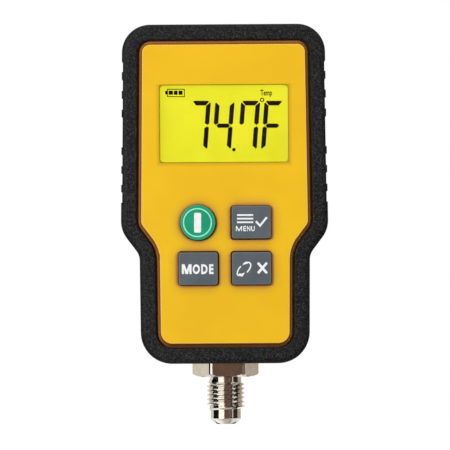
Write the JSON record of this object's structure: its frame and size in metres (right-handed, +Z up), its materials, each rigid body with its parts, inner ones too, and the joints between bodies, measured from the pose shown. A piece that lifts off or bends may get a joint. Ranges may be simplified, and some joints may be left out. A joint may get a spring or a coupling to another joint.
{
  "type": "digital pressure gauge",
  "caption": "Handheld digital pressure gauge: a rubber-booted case with a lit display, sprung keys and a threaded flare fitting below.",
  "frame": {"origin": "on the fitting's axis, at the lower end of its full thread", "axes": "+Z up along the fitting's axis, from the fitting to the display; the front with display and keys faces -Y; +X to the right seen from the front"},
  "size_m": [0.0598, 0.0326, 0.1156],
  "materials": {
    "boot": "fine matt grain",
    "case": "satin moulding",
    "window": "clear polished",
    "glass": "polished",
    "backlight": "lit lime yellow",
    "frame": "matt",
    "contact_rubber": "matt",
    "mat": "matt",
    "pill": "matt",
    "key": "matt slate",
    "power_key": "matt green",
    "board": "solder mask",
    "chip": "moulded",
    "steel": "satin",
    "fitting": "bright nickel plate",
    "seal": "smooth",
    "cell": "printed sleeve, bare",
    "contact": "nickel plate"
  },
  "bodies": {
    "gauge": {"rubber_boot": "boot", "front_case": "case", "rear_case": "case", "battery_door": "case", "display_window": "window", "lcd_glass": "glass", "lcd_backlight": "backlight", "lcd_frame": "frame", "zebra_strip": "contact_rubber", "keypad_mat": "mat", "main_board": "board", "sensor_board": "board", "processor_chip": "chip", "converter_chip": "chip", "board_connector": "chip", "sensor_header": "steel", "flare_fitting": "fitting", "fitting_seal": "seal", "fitting_nut": "fitting", "door_screw": "steel", "cell_left": "cell", "spring_left": "contact", "cell_middle": "cell", "spring_middle": "contact", "cell_right": "cell", "spring_right": "contact", "contact_bottom_tail": "contact", "contact_bottom_link": "contact", "contact_top_link": "contact", "contact_top_tail": "contact", "case_screw_upper_left": "steel", "board_screw_upper_left": "steel", "case_screw_upper_right": "steel", "board_screw_upper_right": "steel", "case_screw_lower_left": "steel", "board_screw_lower_left": "steel", "case_screw_lower_right": "steel", "board_screw_lower_right": "steel"},
    "power_button": {"power_key": "power_key", "power_pill": "pill"},
    "menu_button": {"menu_key": "key", "menu_pill": "pill"},
    "mode_button": {"mode_key": "key", "mode_pill": "pill"},
    "cancel_button": {"cancel_key": "key", "cancel_pill": "pill"}
  },
  "joints": [
    {"name": "power_press", "type": "slide", "parent": "gauge", "child": "power_button", "axis": [0, 1, 0], "range_m": [0, 0.0008], "stiffness_N_per_m": 1200, "deforming": ["keypad_mat"]},
    {"name": "menu_press", "type": "slide", "parent": "gauge", "child": "menu_button", "axis": [0, 1, 0], "range_m": [0, 0.0008], "stiffness_N_per_m": 1200, "deforming": ["keypad_mat"]},
    {"name": "mode_press", "type": "slide", "parent": "gauge", "child": "mode_button", "axis": [0, 1, 0], "range_m": [0, 0.0008], "stiffness_N_per_m": 1200, "deforming": ["keypad_mat"]},
    {"name": "cancel_press", "type": "slide", "parent": "gauge", "child": "cancel_button", "axis": [0, 1, 0], "range_m": [0, 0.0008], "stiffness_N_per_m": 1200, "deforming": ["keypad_mat"]}
  ]
}
